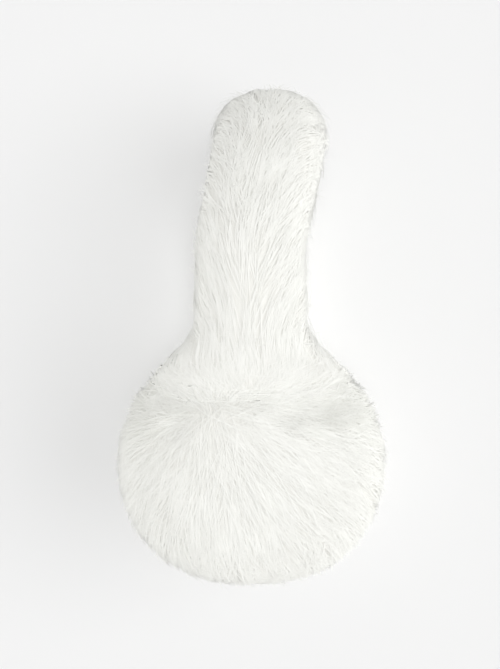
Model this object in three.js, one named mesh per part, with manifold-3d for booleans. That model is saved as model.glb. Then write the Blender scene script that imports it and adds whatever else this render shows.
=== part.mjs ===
// Fur earmuffs lying on one ear pad, in millimetres with +Z up.
// X runs across the headband, Y from the ear pads to the crown, Z from the lower pad to the upper one.
// Until the last lines the origin is midway between the pads, on the line through their centres.

import * as THREE from "three";
import { mergeVertices } from "three/addons/utils/BufferGeometryUtils.js";
import Module from "manifold-3d";

const wasm = await Module();
wasm.setup();

// Ear pads, over their dense fur. The rim is the widest line of a pad, and its lower half is a little
// fuller than an ellipse.
const padWidth = 115;
const padHeight = 109;
const padOuterDepth = 34;
const padEarDepth = 25;
const earGap = 42;
const padOuterPower = 2.5;
const padEarPower = 4;
const padLowerPower = 2.25;

// Crease across the outer face, under the end of the headband, and the shoulders that drop beyond it.
const creaseLevel = 30;
const creaseSag = 6;
const creaseDepth = 3.5;
const creaseWidth = 6;
const shoulderDrop = 3;

// Headband: the line that its widest fur follows, in the plane of the pads' axis.
const bandSpan = 130;
const bandCrownLevel = 148;
const bandWideLevel = 76;
const bandEndLevel = 27;
const bandLegReach = 140;
const bandLean = 7.6;
const bandLeanLevel = 90;

// Headband fur round that line: across, away from the head and toward the head.
const bandWidth = 49;
const bandOuterDepth = 22;
const bandInnerDepth = 10;
const bandOuterPower = 2.2;
const bandInnerPower = 2.8;
const bandCapLength = 9;

// Share of the way from the crown to an end, and the width and outer depth there as shares of the crown's.
const bandSections = [
  { at: 0, width: 1.05, depth: 1 },
  { at: 0.3, width: 1, depth: 0.97 },
  { at: 0.55, width: 0.96, depth: 0.9 },
  { at: 0.78, width: 0.99, depth: 0.86 },
  { at: 1, width: 1.95, depth: 0.6 },
];

// Where an end spreads over a pad, counted as those shares are: its sides drop there to the pad's shoulders,
// and its locks run on past its edges by a share of its half width.
const overPadShare = { from: 0.74, to: 0.94 };
const bandSaddle = 14;
const bandOvershoot = 0.1;
const mostlyOnPad = 0.3;

// Locks of fur, and their length and lift elsewhere as shares of a full lock on a pad's outer face.
const lockLength = 29;
const lockWidth = 16;
const lockThickness = 6;
const lockLift = 3.4;
const lockSpread = 0.2;
const fullLock = { length: 1, lift: 1 };
const shoulderLock = { length: 0.7, lift: 1 };
const earLock = { length: 0.6, lift: 0.5 };
const innerBandLock = { length: 0.8, lift: 0.4 };

// Lock roots on a pad: their number, and their reach on its flat map, where 1 is the rim.
const padOuterLocks = 78;
const padOuterReach = 1.08;
const padEarLocks = 22;
const padEarReach = { from: 1.25, to: 1.85 };

// The shortest lock that fits below the crease, and the bare half width under the headband's end, as shares.
const leastRoom = 0.35;
const bandEndRoom = 0.9;

// Lock roots on the headband: rows along it, and the half turns round it that they cover.
const bandLockRows = 15;
const bandLockJitter = 0.4;
const bandRootShare = { from: 0.01, to: 0.97 };
const bandTipShare = 0.985;
const bandOuterLocksPerRow = 7;
const bandOuterTurns = { from: -0.05, to: 1.05 };
const bandInnerLocksPerRow = 2;
const bandInnerTurns = { from: 1.12, to: 1.88 };
const rowStagger = 0.25;
const bandFan = 65;

// Where the fur of the pads parts, from the pad's centre.
const whorlAcross = -11.5;
const whorlUp = 17.5;

// How far the fur is pressed flat where a pad rests, and the clearance between the pieces.
const restPress = 2;
const clearance = 0.4;

// Corners of the cores, a small step for slopes and the largest loose crumb, in cubic millimetres.
const padSides = 22;
const padRings = 4;
const bandSides = 16;
const bandRings = 20;
const bandEndCrowding = 0.6;
const capRings = 2;
const capRingPlace = 0.35;
const slopeStep = 1e-3;
const crumbVolume = 0.5;

// Starts of the random numbers that vary the locks.
const bandSeed = 7;
const upperPadSeed = 11;
const lowerPadSeed = 23;

const rimLevel = earGap / 2 + padEarDepth;
const floorLevel = -(rimLevel + padOuterDepth - restPress);
const goldenAngle = Math.PI * (3 - Math.sqrt(5));
const across = new THREE.Vector3(1, 0, 0);

// Repeatable random numbers from 0 to 1.
function randomSource(seed) {
  let state = seed;
  return () => {
    state = (Math.imul(state, 1664525) + 1013904223) >>> 0;
    return state / 2 ** 32;
  };
}

// The point of a rounded square of half size 1 at an angle: power 2 is a circle, a higher one fuller.
function roundedSquare(angle, power) {
  const c = Math.cos(angle);
  const s = Math.sin(angle);
  const size = (Math.abs(c) ** power + Math.abs(s) ** power) ** (-1 / power);
  return [c * size, s * size];
}

// A closed solid through rings of points, drawn to a point at either end.
function loftedSolid(first, rings, last) {
  const sides = rings[0].length;
  const points = [first, ...rings.flat(), last];
  const index = [];
  const end = points.length - 1;
  const corner = (ring, side) => 1 + ring * sides + (side % sides);
  for (let side = 0; side < sides; side++) {
    index.push(0, corner(0, side + 1), corner(0, side));
    for (let ring = 0; ring + 1 < rings.length; ring++) {
      const [a, b] = [corner(ring, side), corner(ring, side + 1)];
      const [c, d] = [corner(ring + 1, side), corner(ring + 1, side + 1)];
      index.push(a, b, c, b, d, c);
    }
    index.push(corner(rings.length - 1, side), corner(rings.length - 1, side + 1), end);
  }
  const geometry = new THREE.BufferGeometry().setFromPoints(points).setIndex(index);
  return solidOf(geometry);
}

// A closed geometry as a solid for joins and cuts, its faces turned outward.
function solidOf(geometry) {
  const bare = new THREE.BufferGeometry();
  bare.setAttribute("position", geometry.getAttribute("position"));
  bare.setIndex(geometry.index);
  const merged = mergeVertices(bare, 1e-4);
  const mesh = (triVerts) =>
    new wasm.Manifold(
      new wasm.Mesh({ numProp: 3, vertProperties: merged.attributes.position.array, triVerts }),
    );
  const faces = new Uint32Array(merged.index.array);
  const solid = mesh(faces);
  return solid.volume() > 0 ? solid : mesh(faces.reverse());
}

function geometryOf(solid) {
  const { vertProperties, triVerts } = solid.getMesh();
  const indexed = new THREE.BufferGeometry();
  indexed.setAttribute("position", new THREE.BufferAttribute(vertProperties, 3));
  indexed.setIndex(new THREE.BufferAttribute(triVerts, 1));
  const geometry = indexed.toNonIndexed();
  geometry.computeVertexNormals();
  return geometry;
}

const creaseLevelAt = (x) => creaseLevel - creaseSag * (x / (padWidth / 2)) ** 2;

// The outer face of a pad is lower along the crease and on the shoulders beyond it.
function creaseDepthAt(x, y) {
  const level = creaseLevelAt(x);
  const groove = creaseDepth * Math.exp(-(((y - level) / creaseWidth) ** 2));
  return groove + shoulderDrop * THREE.MathUtils.smoothstep(y, level, level + 2 * creaseWidth);
}

// A pad's surface as a flat map: reach 0 is the outer face's middle, 1 the rim and 2 the ear side's middle.
function padPoint(side, mapX, mapY) {
  const reach = Math.hypot(mapX, mapY);
  const turn = Math.atan2(mapY, mapX);
  const outer = reach <= 1;
  const slope = (Math.PI / 2) * Math.abs(1 - reach);
  const [radius, rise] = roundedSquare(slope, outer ? padOuterPower : padEarPower);
  const [right, up] = roundedSquare(turn, mapY < 0 ? padLowerPower : 2);
  const x = (radius * right * padWidth) / 2;
  const y = (radius * up * padHeight) / 2;
  const depth = outer ? rise * (padOuterDepth - creaseDepthAt(x, y)) : -rise * padEarDepth;
  return new THREE.Vector3(x, y, side * (rimLevel + depth));
}

// A surface point with its outward normal and the length of a unit step along each of its two coordinates.
function surfaceAt(surface, a, b, outwardFrom) {
  const point = surface(a, b);
  const alongA = surface(a + slopeStep, b).sub(point).divideScalar(slopeStep);
  const alongB = surface(a, b + slopeStep).sub(point).divideScalar(slopeStep);
  const normal = alongA.clone().cross(alongB).normalize();
  if (normal.dot(point.clone().sub(outwardFrom)) < 0) normal.negate();
  return { point, normal, stepA: alongA.length(), stepB: alongB.length() };
}

// The headband's line, from the upper pad over the crown to the lower pad: half an ellipse, then longer
// quarters of one down to the pads.
class HeadbandLine extends THREE.Curve {
  getPoint(share, target = new THREE.Vector3()) {
    const endAngle = Math.acos(-(bandWideLevel - bandEndLevel) / bandLegReach);
    const angle = endAngle * (1 - 2 * share);
    const rise = Math.cos(angle) > 0 ? bandCrownLevel - bandWideLevel : bandLegReach;
    const y = bandWideLevel + rise * Math.cos(angle);
    const lean = bandLean * THREE.MathUtils.smoothstep(y, bandLeanLevel, bandCrownLevel);
    return target.set(lean, y, (bandSpan / 2) * Math.sin(angle));
  }
}

const bandLine = new HeadbandLine();
const bandLength = bandLine.getLength();

// Width and outer depth along the headband, as shares: smooth steps from each row of the table to the next.
function sectionShares(fromCrown) {
  let { width, depth } = bandSections[0];
  for (let row = 1; row < bandSections.length; row++) {
    const [before, after] = [bandSections[row - 1], bandSections[row]];
    const step = THREE.MathUtils.smoothstep(fromCrown, before.at, after.at);
    width += (after.width - before.width) * step;
    depth += (after.depth - before.depth) * step;
  }
  return { width, depth };
}

// How far the headband lies on a pad: 0 on its legs and crown, 1 near its ends.
const overPad = (share) =>
  THREE.MathUtils.smoothstep(Math.abs(2 * share - 1), overPadShare.from, overPadShare.to);

// A point of the rounded section, as shares of half its width and of its depth. Rolled out, the side toward
// a pad runs on beyond the edges.
function sectionPoint(turn, rolled) {
  const outward = Math.sin(turn) > 0;
  const [sideways, away] = roundedSquare(turn, outward ? bandOuterPower : bandInnerPower);
  if (outward) return [sideways, away];
  const past = Math.sign(Math.cos(turn)) * (1 - bandOvershoot * Math.sin(turn));
  return [THREE.MathUtils.lerp(sideways, past, rolled), away * (1 - rolled)];
}

// The fur closes over the last stretch of each end.
function capShare(share) {
  const toEnd = Math.min(share, 1 - share) * bandLength;
  return toEnd >= bandCapLength ? 1 : (1 - (1 - toEnd / bandCapLength) ** 3) ** (1 / 3);
}

// A point of the headband's fur: share along the line, and the turn round it, a quarter turn being outward.
function bandPoint(share, turn, grow = 0, reach = 0, rollOut = 0) {
  const within = THREE.MathUtils.clamp(share, 0, 1);
  const centre = bandLine.getPointAt(within);
  const along = bandLine.getTangentAt(within);
  const side = across.clone().addScaledVector(along, -across.dot(along)).normalize();
  const out = side.clone().cross(along);
  const { width, depth } = sectionShares(Math.abs(2 * within - 1));
  const onPad = overPad(within);
  const [sideways, away] = sectionPoint(turn, rollOut * onPad);
  const outward = Math.sin(turn) > 0;
  const halfWidth = (width * bandWidth) / 2 + grow;
  const height = (outward ? depth * bandOuterDepth + reach : bandInnerDepth) + grow;
  const cap = capShare(within);
  const aside = sideways * halfWidth * cap;
  const drop = bandSaddle * ((2 * aside) / padWidth) ** 2 * onPad * Math.sign(centre.z);
  return centre
    .addScaledVector(side, aside)
    .addScaledVector(out, away * height * cap)
    .addScaledVector(along, grow * (share > 0.5 ? 1 : -1) * (1 - cap))
    .setZ(centre.z - drop);
}

// One lock: a three-sided spike whose root is sunk in the core and whose tip lifts off it.
// The rows give the share of its length, its width and its place between the sunk root and the lifted tip.
const lockSections = [
  { along: 0, width: 0.8, rise: -1 },
  { along: 0.5, width: 1, rise: 0.15 },
];

function lockSolid(pathAt, size, grow) {
  const frameAt = (along) => {
    const { point, normal } = pathAt(along);
    const ahead = pathAt(along + slopeStep).point.sub(point).normalize();
    return { point, normal, sideways: ahead.clone().cross(normal).normalize(), ahead };
  };
  const slant = Math.hypot(size.width / 2, size.thickness);
  const innerRadius = (size.width * size.thickness) / (size.width + 2 * slant);
  const swell = 1 + grow / innerRadius;
  const centres = lockSections.map(({ along, rise }) => {
    const { point, normal } = frameAt(along);
    return point.addScaledVector(normal, rise < 0 ? -size.thickness : size.lift * rise);
  });
  const rings = lockSections.map(({ along, width }, ring) => {
    const { normal, sideways } = frameAt(along);
    const halfWidth = (size.width / 2) * width * swell;
    const below = innerRadius * width * swell;
    const above = (size.thickness - innerRadius) * width * swell;
    const corner = (aside, up) =>
      centres[ring].clone().addScaledVector(sideways, aside).addScaledVector(normal, up);
    return [corner(halfWidth, -below), corner(0, above), corner(-halfWidth, -below)];
  });
  const tip = frameAt(1);
  const end = tip.point.addScaledVector(tip.normal, size.lift);
  end.sub(centres.at(-1)).multiplyScalar(swell).add(centres.at(-1));
  return loftedSolid(centres[0], rings, end);
}

const spread = (random) => lockSpread * (2 * random() - 1);

// The size of one lock, varied at random, with the share of the full length and lift that it has.
function lockSize(random, share) {
  return {
    length: lockLength * share.length * (1 + spread(random)),
    width: lockWidth * (1 + spread(random)),
    thickness: lockThickness * (1 + spread(random)),
    lift: lockLift * share.lift * (1 + spread(random)),
  };
}

const between = ({ from, to }, share) => THREE.MathUtils.lerp(from, to, share);

// Locks on a pad run away from the whorl on the outer face, shorter near the crease, and out toward the
// rim on the ear side.
function padLocks(side, random) {
  const middle = new THREE.Vector3(0, 0, side * rimLevel);
  const surface = (x, y) => padPoint(side, x, y);
  const whorl = new THREE.Vector2((2 * whorlAcross) / padWidth, (2 * whorlUp) / padHeight);
  const locks = [];
  const place = (map, heading, size) => {
    const { stepA } = surfaceAt(surface, map.x, map.y, middle);
    const step = heading.multiplyScalar(size.length / stepA);
    const pathAt = (along) =>
      surfaceAt(surface, map.x + step.x * along, map.y + step.y * along, middle);
    locks.push(lockSolid(pathAt, size, 0));
  };
  for (let i = 0; i < padOuterLocks; i++) {
    const reach = padOuterReach * Math.sqrt((i + 0.5) / padOuterLocks);
    const turn = i * goldenAngle;
    const map = new THREE.Vector2(Math.cos(turn), Math.sin(turn)).multiplyScalar(reach);
    const { point } = surfaceAt(surface, map.x, map.y, middle);
    const heading = map.clone().sub(whorl).normalize();
    heading.rotateAround(new THREE.Vector2(), spread(random));
    const room = heading.y > 0 ? (creaseLevelAt(point.x) - point.y) / lockLength : 1;
    const onShoulder = room < 0;
    const underBand = onShoulder && Math.abs(point.x) < bandEndRoom * bandWidth;
    if (underBand || (!onShoulder && room < leastRoom)) continue;
    const belowCrease = { length: Math.min(fullLock.length, room), lift: fullLock.lift };
    place(map, heading, lockSize(random, onShoulder ? shoulderLock : belowCrease));
  }
  for (let i = 0; i < padEarLocks; i++) {
    const reach = between(padEarReach, Math.sqrt((i + 0.5) / padEarLocks));
    const turn = i * goldenAngle;
    const heading = new THREE.Vector2(Math.cos(turn), Math.sin(turn));
    const map = heading.clone().multiplyScalar(reach);
    place(map, heading.negate(), lockSize(random, earLock));
  }
  return locks;
}

// Locks on the headband run from the upper pad over the crown to the lower pad, and fan out to its edges.
function bandLocks(grow) {
  const random = randomSource(bandSeed);
  const locks = [];
  const perRow = bandOuterLocksPerRow + bandInnerLocksPerRow;
  for (let row = 0; row < bandLockRows; row++) {
    const stagger = row % 2 ? rowStagger : -rowStagger;
    for (let column = 0; column < perRow; column++) {
      const inner = column >= bandOuterLocksPerRow;
      const halfTurns = inner
        ? between(bandInnerTurns, (column - bandOuterLocksPerRow + 0.5) / bandInnerLocksPerRow)
        : between(bandOuterTurns, (column + 0.5 + stagger) / bandOuterLocksPerRow);
      const turn = Math.PI * halfTurns;
      const jitter = bandLockJitter * (random() - 0.5);
      const share = between(bandRootShare, (row + 0.5 + jitter) / bandLockRows);
      const surface = (a, b) => bandPoint(a, b, 0, 0, inner ? 0 : 1);
      const axis = bandLine.getPointAt(share);
      const { stepA, stepB } = surfaceAt(surface, share, turn, axis);
      const size = lockSize(random, inner ? innerBandLock : fullLock);
      const fan = THREE.MathUtils.degToRad(bandFan) * Math.cos(turn) + spread(random);
      const alongStep = (Math.cos(fan) * size.length) / stepA;
      const roundStep = (-Math.sin(fan) * size.length) / stepB;
      const againstPad = inner && Math.max(overPad(share), overPad(share + alongStep)) > mostlyOnPad;
      if (againstPad || share + alongStep > bandTipShare) continue;
      const pathAt = (along) => {
        const here = share + alongStep * along;
        return surfaceAt(surface, here, turn + roundStep * along, bandLine.getPointAt(here));
      };
      locks.push(lockSolid(pathAt, size, grow));
    }
  }
  return locks;
}

// The headband's core, or with a growth the space that it keeps clear in the pads.
function bandCore(grow, reach) {
  const shares = [];
  const capStep = bandCapLength / bandLength / capRings;
  for (let ring = 0; ring < capRings; ring++) shares.push(capStep * (ring + capRingPlace));
  const start = bandCapLength / bandLength;
  for (let ring = 0; ring <= bandRings; ring++) {
    const even = ring / bandRings;
    const crowded = (1 - Math.cos(Math.PI * even)) / 2;
    shares.push(start + (1 - 2 * start) * THREE.MathUtils.lerp(even, crowded, bandEndCrowding));
  }
  for (let ring = capRings - 1; ring >= 0; ring--) shares.push(1 - capStep * (ring + capRingPlace));
  const turns = Array.from({ length: bandSides }, (_, i) => (2 * Math.PI * i) / bandSides);
  const rings = shares.map((share) => turns.map((turn) => bandPoint(share, turn, grow, reach)));
  return loftedSolid(bandPoint(0, 0, grow), rings, bandPoint(1, 0, grow));
}

function padCore(side) {
  const rings = [];
  for (let ring = 1; ring < 2 * padRings; ring++) {
    rings.push(
      Array.from({ length: padSides }, (_, i) => {
        const turn = (2 * Math.PI * i) / padSides;
        const reach = ring / padRings;
        return padPoint(side, reach * Math.cos(turn), reach * Math.sin(turn));
      }),
    );
  }
  return loftedSolid(padPoint(side, 0, 0), rings, padPoint(side, 2, 0));
}

// What lies below the surface that the earmuffs rest on.
function belowFloor() {
  const deep = earGap + 2 * (padOuterDepth + padEarDepth);
  const wide = 2 * (padWidth + padHeight + bandCrownLevel + bandOuterDepth);
  const box = new THREE.BoxGeometry(wide, wide, deep).translate(0, 0, floorLevel - deep / 2);
  return solidOf(box);
}

// Hollows sealed in among the locks are filled, and crumbs of fur that a cut leaves loose fall away.
function withoutHollowsAndCrumbs(solid) {
  return wasm.Manifold.compose(solid.decompose().filter((shell) => shell.volume() > crumbVolume));
}

const joined = (core, locks) => locks.reduce((solid, lock) => solid.add(lock), core);

function headbandSolid() {
  return withoutHollowsAndCrumbs(joined(bandCore(0, 0), bandLocks(0)).subtract(belowFloor()));
}

function padSolid(side, seed) {
  const bandSpace = joined(bandCore(clearance, lockLift), bandLocks(clearance));
  const fur = joined(padCore(side), padLocks(side, randomSource(seed)));
  return withoutHollowsAndCrumbs(fur.subtract(bandSpace).subtract(belowFloor()));
}

function furMesh(name, solid, color) {
  const material = new THREE.MeshStandardMaterial({ color, roughness: 0.95, metalness: 0 });
  const mesh = new THREE.Mesh(geometryOf(solid), material);
  mesh.name = name;
  return mesh;
}

const earmuffs = new THREE.Group();
earmuffs.add(
  furMesh("headband", headbandSolid(), "#f4f3ef"),
  furMesh("ear_pad_upper", padSolid(1, upperPadSeed), "#f6f5f1"),
  furMesh("ear_pad_lower", padSolid(-1, lowerPadSeed), "#f2f1ec"),
);

// The origin goes to the middle of the bottom of the whole.
const bounds = new THREE.Box3().setFromObject(earmuffs);
const middle = bounds.getCenter(new THREE.Vector3());
earmuffs.position.set(-middle.x, -middle.y, -bounds.min.z);

export default earmuffs;
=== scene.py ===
"""White fur earmuffs lying on one ear pad: the fur of the pads and of the headband, the light and the camera.

Lengths are in metres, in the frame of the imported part: +X to the right of the picture, +Y from the pads to
the crown of the headband, and +Z up along the line from ear to ear.
"""

import logging
import math
from abc import ABC, abstractmethod
from dataclasses import dataclass
from enum import Enum

import bpy
import numpy as np
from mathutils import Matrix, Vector


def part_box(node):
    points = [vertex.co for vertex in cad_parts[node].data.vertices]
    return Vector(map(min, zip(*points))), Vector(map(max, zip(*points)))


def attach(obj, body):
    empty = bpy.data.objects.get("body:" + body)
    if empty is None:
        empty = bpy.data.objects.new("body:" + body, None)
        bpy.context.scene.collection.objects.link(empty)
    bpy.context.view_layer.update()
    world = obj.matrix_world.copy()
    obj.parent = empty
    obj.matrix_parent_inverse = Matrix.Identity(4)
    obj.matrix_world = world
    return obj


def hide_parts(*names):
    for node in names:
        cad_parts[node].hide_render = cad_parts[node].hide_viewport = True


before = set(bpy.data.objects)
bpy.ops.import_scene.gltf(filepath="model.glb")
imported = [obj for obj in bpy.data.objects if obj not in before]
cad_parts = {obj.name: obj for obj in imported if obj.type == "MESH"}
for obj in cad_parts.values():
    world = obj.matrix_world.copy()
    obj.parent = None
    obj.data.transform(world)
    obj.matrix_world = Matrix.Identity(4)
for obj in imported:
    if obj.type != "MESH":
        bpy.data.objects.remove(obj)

MM = 0.001
SLOPE_STEP = 1e-3
ROOT_BODY = "root"
PICTURE_SIZE = (500, 669)
SPIKE_SIDES = 3
# The bed's stretch of the bake map, and where on the way from root to tip its colour and tone are taken. Taking
# the colour near the root, the bed is darker than the tips: painted shade deep in the pile.
BED_CELLS = (0.0, 0.08)
BED_DEPTH = 0.25
BED_TONE = 0.6

# Shading of a hair: its own roundness is a small share and the skin's is the rest, as light scatters between
# white hairs. The normal is turned upward, as light shines down into the fur, and always faces up a little.
HAIR_ROUNDNESS = 0.03
LIGHT_THROUGH_FUR = 0.4
LEAST_UPWARD = 0.1

log = logging.getLogger("earmuffs")

Array = np.ndarray
Pair = tuple[Array, Array]
Span = tuple[float, float]


class Side(Enum):
    """Which of the two ear pads: the sign of its place along the line from ear to ear."""

    LOWER = -1
    UPPER = 1


def linear_colour(hex_code: str) -> tuple[float, float, float, float]:
    """Turn an sRGB colour, written "#rrggbb", to linear red, green and blue, with an alpha of 1."""
    parts = [int(hex_code[i : i + 2], 16) / 255 for i in (1, 3, 5)]
    r, g, b = (c / 12.92 if c <= 0.04045 else ((c + 0.055) / 1.055) ** 2.4 for c in parts)
    return r, g, b, 1.0


def add_node(
    tree: bpy.types.NodeTree, kind: str, settings: dict | None = None, **sockets: object
) -> bpy.types.Node:
    """Add one shader node.

    Args:
        tree: The node tree that takes it.
        kind: The node's type name.
        settings: Values of the node's own fields.
        **sockets: For each input, by its name with underscores or in_ and its number, a socket or a value.

    Returns:
        The new node.
    """
    node = tree.nodes.new(kind)
    for name, value in (settings or {}).items():
        setattr(node, name, value)
    for name, value in sockets.items():
        socket = node.inputs[int(name[3:]) if name.startswith("in_") else name.replace("_", " ")]
        if isinstance(value, bpy.types.NodeSocket):
            tree.links.new(value, socket)
        else:
            socket.default_value = value
    return node


def placed(name: str, data: bpy.types.ID) -> bpy.types.Object:
    """A new object of the scene."""
    made = bpy.data.objects.new(name, data)
    bpy.context.scene.collection.objects.link(made)
    return made


def unit_vectors(vectors: Array) -> Array:
    """Vectors scaled to length 1."""
    return vectors / np.maximum(np.linalg.norm(vectors, axis=-1, keepdims=True), 1e-12)


@dataclass(frozen=True)
class FurFinish:
    """Modacrylic fur pile: drawn white fibres, matt with a soft sheen, warmer at the root and darker there as
    painted shade deep in the pile.

    A real fibre is about 0.03 mm thick. Bump and hairs are drawn ten times as coarse, so that they show.
    """

    name: str
    root_hex: str
    tip_hex: str
    # The dark colour: hairs take it by their random tone, and as painted shade in the crease and dimples.
    dark_tone_and_shade_hex: str
    roughness: float = 0.7
    sheen: float = 0.1
    sheen_roughness: float = 0.5
    tone_share: float = 0.3
    fibre_mm: float = 0.35
    bump_strength: float = 0.1

    def material(self) -> bpy.types.Material:
        """Make the material: root to tip colour along each hair, with painted shade at the root, a tone of its own
        for each with painted shade added, and fibre bump.

        Returns:
            The material, which reads the map "hair" (across and along a hair) and the attribute "tone", each
            hair's random tone with painted shade added.
        """
        made = bpy.data.materials.new(self.name)
        made.use_nodes = True
        tree = made.node_tree
        shader = tree.nodes["Principled BSDF"]
        hair_map = add_node(tree, "ShaderNodeUVMap", {"uv_map": "hair"})
        parts = add_node(tree, "ShaderNodeSeparateXYZ", Vector=hair_map.outputs["UV"])
        along = add_node(
            tree, "ShaderNodeMapRange", {"interpolation_type": "SMOOTHSTEP"}, Value=parts.outputs["Y"],
            From_Min=0.0, From_Max=0.55,
        )
        tone = add_node(tree, "ShaderNodeAttribute", {"attribute_name": "tone"})
        # Root to tip: the darker root colour is painted shade deep in the pile.
        root_to_tip = add_node(
            tree, "ShaderNodeMix", {"data_type": "RGBA"}, in_0=along.outputs["Result"],
            in_6=linear_colour(self.root_hex), in_7=linear_colour(self.tip_hex),
        )
        # Toward the dark colour by the tone: random for each hair, plus painted shade in the crease and dimples.
        share = add_node(
            tree, "ShaderNodeMath", {"operation": "MULTIPLY"}, in_0=tone.outputs["Fac"], in_1=self.tone_share
        )
        colour = add_node(
            tree, "ShaderNodeMix", {"data_type": "RGBA"}, in_0=share.outputs["Value"],
            in_6=root_to_tip.outputs[2], in_7=linear_colour(self.dark_tone_and_shade_hex),
        )
        place = add_node(tree, "ShaderNodeTexCoord")
        fibres = add_node(
            tree, "ShaderNodeTexNoise", {"noise_dimensions": "3D"}, Vector=place.outputs["Object"],
            Scale=1 / (self.fibre_mm * MM), Detail=2.0, Roughness=0.5,
        )
        bump = add_node(
            tree, "ShaderNodeBump", Height=fibres.outputs["Fac"], Strength=self.bump_strength,
            Distance=self.fibre_mm * MM / 4,
        )
        tree.links.new(colour.outputs[2], shader.inputs["Base Color"])
        tree.links.new(bump.outputs["Normal"], shader.inputs["Normal"])
        shader.inputs["Roughness"].default_value = self.roughness
        shader.inputs["Sheen Weight"].default_value = self.sheen
        shader.inputs["Sheen Roughness"].default_value = self.sheen_roughness
        shader.inputs["Specular IOR Level"].default_value = 0.2
        return made


@dataclass(frozen=True)
class Pile:
    """One kind of hair in the fur: its sizes in metres, and how the hairs gather in tufts.

    Lift is how far the tip stands off the skin, layer how far the whole hair does, and sink the root's depth.
    Gather is how far a tuft draws together, and spread how much lengths differ. Turns are in radians.
    """

    length: float = 24 * MM
    width: float = 0.5 * MM
    flatness: float = 0.4
    lift: float = 1.0 * MM
    layer: float = 1.1 * MM
    sink: float = 1.4 * MM
    hairs_in_tuft: int = 10
    tuft_radius: float = 2.6 * MM
    gather: float = 0.7
    tuft_turn: float = 0.16
    hair_turn: float = 0.07
    bend: float = 0.12
    spread: float = 0.3
    stray_share: float = 0.04
    stray_lift: float = 2.4 * MM
    own_bend: float = 0.4
    own_tone: float = 0.7
    tuft_tone: float = 0.3
    tuft_lift: float = 0.6
    rings: int = 4


PAD_PILE = Pile()
GUARD_PILE = Pile(width=0.42 * MM, layer=1.8 * MM, lift=1.4 * MM, length=26 * MM, stray_share=0.08, rings=3)
BAND_PILE = Pile(length=27 * MM, lift=0.4 * MM, layer=0.6 * MM, sink=1.0 * MM)
BAND_GUARD_PILE = Pile(layer=0.9 * MM, lift=0.55 * MM, length=29 * MM, stray_share=0.05, rings=3)
CREASE_PILE = Pile(
    length=13 * MM, width=0.45 * MM, lift=1.2 * MM, layer=1.4 * MM, hairs_in_tuft=8, tuft_turn=0.35,
    hair_turn=0.2, bend=0.3, rings=3,
)
FINE_PILE = Pile(
    length=11 * MM, width=0.15 * MM, lift=2.5 * MM, layer=2.0 * MM, hairs_in_tuft=6, tuft_radius=3.0 * MM,
    gather=0.2, tuft_turn=0.25, hair_turn=0.3, bend=0.2, rings=2,
)


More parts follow.
